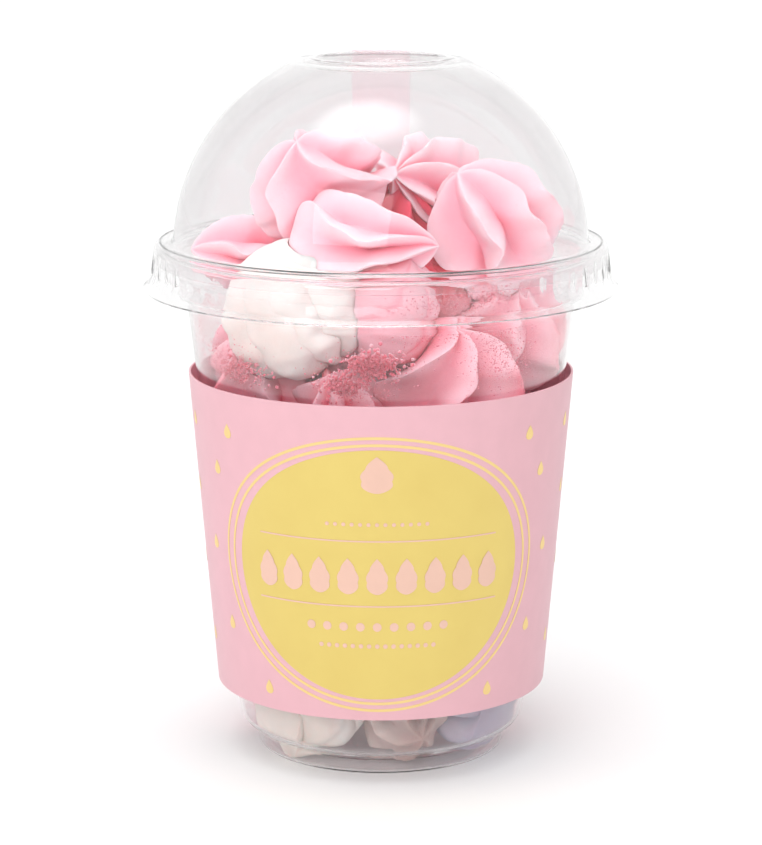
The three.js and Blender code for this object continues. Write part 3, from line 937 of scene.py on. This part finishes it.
WRAP_RADIUS = 38.5
lap_width = math.radians(LAP_TO - LAP_FROM) * WRAP_RADIUS
bpy.ops.mesh.primitive_grid_add(x_subdivisions=12, y_subdivisions=24, size=1)
lap = bpy.context.object
lap.name = "sleeve_lap"
lap_height = SLEEVE["top_z"] - SLEEVE["bottom_z"]
middle_z = (SLEEVE["top_z"] + SLEEVE["bottom_z"]) / 2
for vertex in lap.data.vertices:
    x, y, _ = vertex.co
    vertex.co = (x * lap_width, 0, middle_z + y * lap_height)
wrap(lap, (LAP_FROM + LAP_TO) / 2, LAP_OFF)
thicken(lap, LAP_BOARD)
lap.data.materials.append(sleeve.data.materials[0])
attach(lap, "root")

# ---------------------------------------------------------------------------------------------
# The sleeve's print: gold foil stamped on the board, as an oval field in two thin rings with
# small drops scattered round it. Plain pink shapes are printed over the oval.

OVAL_MIDDLE_Z, OVAL_ANGLE = 46.5, -1.2
OVAL_HALF_WIDTH, OVAL_HALF_HEIGHT = 32.3, 27.0
RINGS = ((35.2, 28.3), (37.5, 29.8))
RING_WIDTH = 0.6
FOIL_OFF, FOIL, INK_OFF, INK = 0.02, 0.03, 0.04, 0.02


def shaped_disc(name, outline, corners, cuts):
    """A flat disc whose rim follows outline(angle) -> (x, z), its inside scaled with it."""
    deselect_all()
    bpy.ops.mesh.primitive_circle_add(vertices=corners, radius=1, fill_type="TRIFAN")
    piece = bpy.context.object
    piece.name = name
    bpy.ops.object.mode_set(mode="EDIT")
    bpy.ops.mesh.select_all(action="SELECT")
    if cuts:
        bpy.ops.mesh.subdivide(number_cuts=cuts)
    bpy.ops.object.mode_set(mode="OBJECT")
    half = math.pi / corners
    for vertex in piece.data.vertices:
        x, z, _ = vertex.co
        angle = math.atan2(x, z)
        within = (angle % (2 * half)) - half
        reach = math.hypot(x, z) * math.cos(within) / math.cos(half)
        rim_x, rim_z = outline(angle)
        vertex.co = (rim_x * min(reach, 1), 0, rim_z * min(reach, 1))
    return piece


def shift(piece, x, z):
    piece.data.transform(Matrix.Translation((x, 0, z)))


def ring_band(name, half_width, half_height, width):
    """A thin oval band."""
    deselect_all()
    bpy.ops.mesh.primitive_circle_add(vertices=160, radius=1, fill_type="NOTHING")
    piece = bpy.context.object
    piece.name = name
    bpy.ops.object.mode_set(mode="EDIT")
    bpy.ops.mesh.select_all(action="SELECT")
    bpy.ops.mesh.extrude_edges_move(TRANSFORM_OT_translate={"value": (0, 0, 1)})
    bpy.ops.object.mode_set(mode="OBJECT")
    for vertex in piece.data.vertices:
        x, y, inner = vertex.co
        vertex.co = (x * (half_width - inner * width), 0, y * (half_height - inner * width))
    return piece


def join(pieces, name):
    deselect_all()
    for piece in pieces:
        piece.select_set(True)
    bpy.context.view_layer.objects.active = pieces[0]
    bpy.ops.object.join()
    pieces[0].name = name
    return pieces[0]


def teardrop(half_width, half_height):
    return lambda angle: (
        half_width * math.sin(angle) * abs(math.sin(angle / 2)) ** 1.2 * 1.3,
        half_height * math.cos(angle),
    )


def kiss(half_width, half_height):
    """A little piped drop: three rolls that narrow to a point."""

    def outline(angle):
        rise = (1 + math.cos(angle)) / 2
        width = math.sin(angle) * abs(math.sin(angle / 2)) ** 0.8 * 1.2
        rolls = 1 + 0.14 * abs(math.sin(3 * math.pi * rise)) - 0.07
        return half_width * width * rolls, half_height * math.cos(angle)

    return outline


field = shaped_disc(
    "field",
    lambda angle: (OVAL_HALF_WIDTH * math.sin(angle), OVAL_HALF_HEIGHT * math.cos(angle)),
    96,
    15,
)
rings = [ring_band("ring", wide, tall, RING_WIDTH) for wide, tall in RINGS]
for piece in (field, *rings):
    shift(piece, 0, OVAL_MIDDLE_Z)
    wrap(piece, OVAL_ANGLE, FOIL_OFF)

FRONT_DROPS = [(50.6, 74.2), (58, 65.6), (64, 48.5), (57, 31.7), (39.4, 19.7)]
SIDE_DROPS = [(75, 74), (79, 59), (86, 42), (77, 26), (96, 68), (101, 52), (94, 20), (105, 33)]
BACK_DROPS = [(116, 75), (122, 59), (127, 42), (118, 22), (139, 69), (142, 51), (138, 31)]
drops = []
for side in (-1, 1):
    for angle, z in FRONT_DROPS + SIDE_DROPS + BACK_DROPS:
        drop = shaped_disc("drop", teardrop(1.15, 1.55), 24, 0)
        shift(drop, 0, z)
        wrap(drop, OVAL_ANGLE + side * angle, FOIL_OFF)
        drops.append(drop)
foil = join([field], "gold_foil")
thicken(foil, FOIL)
thin_foil = join(rings + drops, "thin_foil")
thicken(thin_foil, FOIL)


def foil_material(name, dark, light):
    """Matt gold foil: pale gold metal over the board's tooth, its gloss a little uneven."""
    material, tree, shader, _ = new_material(name)
    place = add_node(tree, "TexCoord").outputs["Object"]
    cloud = noise(tree, place, 90.0, 4.0)
    tooth = noise(tree, place, 2600.0, 2.0)
    look = {
        "Base Color": mixed(tree, cloud, dark, light), "Metallic": 0.55,
        "Roughness": mapped(tree, cloud, 0, 1, 0.36, 0.5),
        "Normal": bumped(tree, tooth, 0.3, 0.00003),
    }
    feed(tree, shader, look)
    return material


foil.data.materials.append(
    foil_material("matt_gold_foil", (0.685, 0.52, 0.15), (0.76, 0.605, 0.19))
)
thin_foil.data.materials.append(
    foil_material("thin_gold_foil", (0.80, 0.58, 0.24), (0.85, 0.65, 0.28))
)
for piece in (foil, thin_foil):
    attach(piece, "root")

RULES = ((54.0, 52.0), (39.9, 54.0))
RULE_HEIGHT = 0.32
KISSES = [(i * 6.1, 46.4, 2.3) for i in range(-4, 5)] + [(0, 68.2, 3.3)]
KISS_HALF_HEIGHT = 3.9
DOT_ROWS = ((13, 1.7, 0.42, 57.6), (9, 3.6, 0.95, 35.4), (15, 1.75, 0.5, 31.2))
shapes = []
for z, width in RULES:
    deselect_all()
    bpy.ops.mesh.primitive_grid_add(x_subdivisions=40, y_subdivisions=1, size=1)
    rule = bpy.context.object
    for vertex in rule.data.vertices:
        x, y, _ = vertex.co
        vertex.co = (x * width, 0, z + y * RULE_HEIGHT)
    shapes.append(rule)
for x, z, half_width in KISSES:
    mark = shaped_disc("kiss", kiss(half_width, KISS_HALF_HEIGHT), 48, 3)
    shift(mark, x, z)
    shapes.append(mark)
for count, spacing, size, z in DOT_ROWS:
    for i in range(count):
        dot = shaped_disc("dot", lambda a, s=size: (s * math.sin(a), s * math.cos(a)), 16, 0)
        shift(dot, (i - (count - 1) / 2) * spacing, z)
        shapes.append(dot)
for piece in shapes:
    wrap(piece, OVAL_ANGLE, FOIL_OFF + FOIL + INK_OFF)
print_shapes = join(shapes, "pink_print")
thicken(print_shapes, INK)
print_shapes.data.materials.append(paper("pink_ink", (0.70, 0.45, 0.36), 0.02, 0.5))
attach(print_shapes, "root")

# ---------------------------------------------------------------------------------------------
# The seal strip: a band of pink coated paper, stuck from the crown down the back of the lid and
# on over the sleeve, so that the lid can't come off without tearing it.

STRIP = {"width": 13, "paper": 0.14, "overlap": 16}
BRIDGE_REACH = 0.8  # how far above and below the skirt's bend it stands off the crimps
side_line = eased([*crown_ring, dome_arc[0]], 0.35) + dome_arc[1:-1]
side_line += eased([dome_arc[-1], *flange_line], 0.4)
strip_end_z = SLEEVE["top_z"] - STRIP["overlap"]
over_sleeve = [
    Vector((SLEEVE["top_radius"], SLEEVE["top_z"])),
    Vector((sleeve_radius(strip_end_z), strip_end_z)),
]
strip_line = offset_line([*side_line, *over_sleeve], GAP)
strip_rows = len(strip_line) - 1
deselect_all()
bpy.ops.mesh.primitive_grid_add(x_subdivisions=12, y_subdivisions=strip_rows, size=1)
strip = bpy.context.object
strip.name = "paper_strip"
for vertex in strip.data.vertices:
    x, y, _ = vertex.co
    x *= STRIP["width"]
    radius, z = strip_line[round((0.5 - y) * strip_rows)]
    if abs(z - SKIRT["straight_z"]) < BRIDGE_REACH:
        radius += CRIMP_HEIGHT
    vertex.co = (x * MM, math.sqrt(radius**2 - x**2) * MM, z * MM)
thicken(strip, STRIP["paper"])
STRIP_PINK = (0.915, 0.73, 0.775)
strip_paper = paper("strip_paper", STRIP_PINK, 0.02, 0.5)
tree = strip_paper.node_tree
shining_through = {
    "Subsurface Weight": 0.8, "Subsurface Radius": (1.0, 1.0, 1.0), "Subsurface Scale": 0.002,
}
feed(tree, tree.nodes["Principled BSDF"], shining_through)
strip.data.materials.append(strip_paper)
# No light comes through the end that is stuck to the board.
strip.data.materials.append(paper("stuck_strip_paper", STRIP_PINK, 0.02, 0.5))
for face in strip.data.polygons:
    face.material_index = int(face.center.z / MM < SLEEVE["top_z"])
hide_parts("seal_strip")
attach(strip, "root")

# ---------------------------------------------------------------------------------------------
# Crumbs: sugar dust and chips that rubbed off the meringues, stuck to the inside of the cup
# and lying on its bottom.

# Where the chips lie heaped against the wall: bearing, its spread, height, its spread and count.
CHIPS = [(-3, 4, 90.5, 1.4, 420), (-12, 3.5, 86, 1.1, 220), (-50, 6, 87, 1.3, 160)]
# Where the crumbs on the wall gather, in the same way.
DRIFTS = [
    (38, 7, 92.5, 4, 2000),
    (-53, 7, 88.5, 2.5, 1100),
    (-7, 6, 87, 3, 1100),
    (-2, 5, 91.5, 1.3, 900),
    (14, 9, 97, 1.5, 500),
    (17, 7, 103.5, 1.3, 900),
    (31, 6, 105, 1.2, 500),
    (120, 60, 88, 6, 350),
    (240, 50, 88, 6, 350),
]
SCATTERED, ON_BOTTOM = 700, 400
CHIP_SIZES, CHIP_HEAP, BOTTOM_RADIUS = (0.25, 0.6), 3.5, 21
SMALLEST, LARGER = 0.06, 0.17  # the radius of a crumb, and how much larger it may be
CLEAR, BOTTOM_CLEAR = 0.05, 0.02
SCATTER_REACH = (76, 97)
# The heights where crumbs can stick below and above the shoulder, and what parts the two.
WALL_REACH, RIM_REACH, PARTED = (10, 97), (101, 107), 98.5
chance = random.Random(11)
deselect_all()
bpy.ops.mesh.primitive_ico_sphere_add(subdivisions=1, radius=1)
crumb = bpy.context.object
crumb_points = [vertex.co.copy() for vertex in crumb.data.vertices]
crumb_faces = [tuple(face.vertices) for face in crumb.data.polygons]
bpy.data.objects.remove(crumb)
wall_slope = (BODY["top_radius"] - BODY["bottom_radius"]) / (BODY["top_z"] - BODY["bottom_z"])
rim_slope = (RIM["wall_radius"] - SHOULDER["radius"]) / (curl_z - 1 - SHOULDER["z"])


def on_wall(around, z, size):
    """A crumb stuck to the inside of the cup's wall: bearing, radius, height and size."""
    if z < PARTED:
        z = min(max(z, WALL_REACH[0]), WALL_REACH[1])
        wall = BODY["bottom_radius"] + wall_slope * (z - BODY["bottom_z"])
    else:
        z = min(max(z, RIM_REACH[0]), RIM_REACH[1])
        wall = SHOULDER["radius"] + rim_slope * (z - SHOULDER["z"])
    return around, wall - PLASTIC - size - CLEAR, z, size


def crumb_size():
    return SMALLEST + LARGER * chance.random() ** 4


def gathered(heaps):
    """The bearing and height of each crumb of some heaps."""
    for around, around_spread, z, z_spread, count in heaps:
        for _ in range(count):
            yield chance.gauss(around, around_spread), chance.gauss(z, z_spread)


crumb_places = []
for place in gathered(CHIPS):
    around, radius, z, size = on_wall(*place, chance.uniform(*CHIP_SIZES))
    crumb_places.append((around, radius - CHIP_HEAP * chance.random(), z, size))
for place in gathered(DRIFTS):
    crumb_places.append(on_wall(*place, crumb_size()))
for _ in range(SCATTERED):
    place = chance.uniform(0, 360), chance.uniform(*SCATTER_REACH)
    crumb_places.append(on_wall(*place, 0.5 * crumb_size()))
for _ in range(ON_BOTTOM):
    size = crumb_size()
    z = FOOT["recess"] + PLASTIC + size + BOTTOM_CLEAR
    around, radius = chance.uniform(0, 360), BOTTOM_RADIUS * chance.random() ** 0.5
    crumb_places.append((around, radius, z, size))

points, faces, depths = [], [], []
for around, radius, z, size in crumb_places:
    angle = math.radians(around)
    middle = Vector((radius * math.sin(angle), -radius * math.cos(angle), z))
    first = len(points)
    for point in crumb_points:
        points.append((middle + point * size * chance.uniform(0.6, 1.0)) * MM)
    depths += [chance.random() ** 2] * len(crumb_points)
    faces += [tuple(first + corner for corner in face) for face in crumb_faces]
crumb_mesh = bpy.data.meshes.new("meringue_crumbs")
crumb_mesh.from_pydata(points, [], faces)
crumbs = bpy.data.objects.new("meringue_crumbs", crumb_mesh)
bpy.context.scene.collection.objects.link(crumbs)
mark_shade_and_tone(crumbs, depths)
crumb_mesh.materials.append(MERINGUE_LOOKS["crumb"])
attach(crumbs, "root")
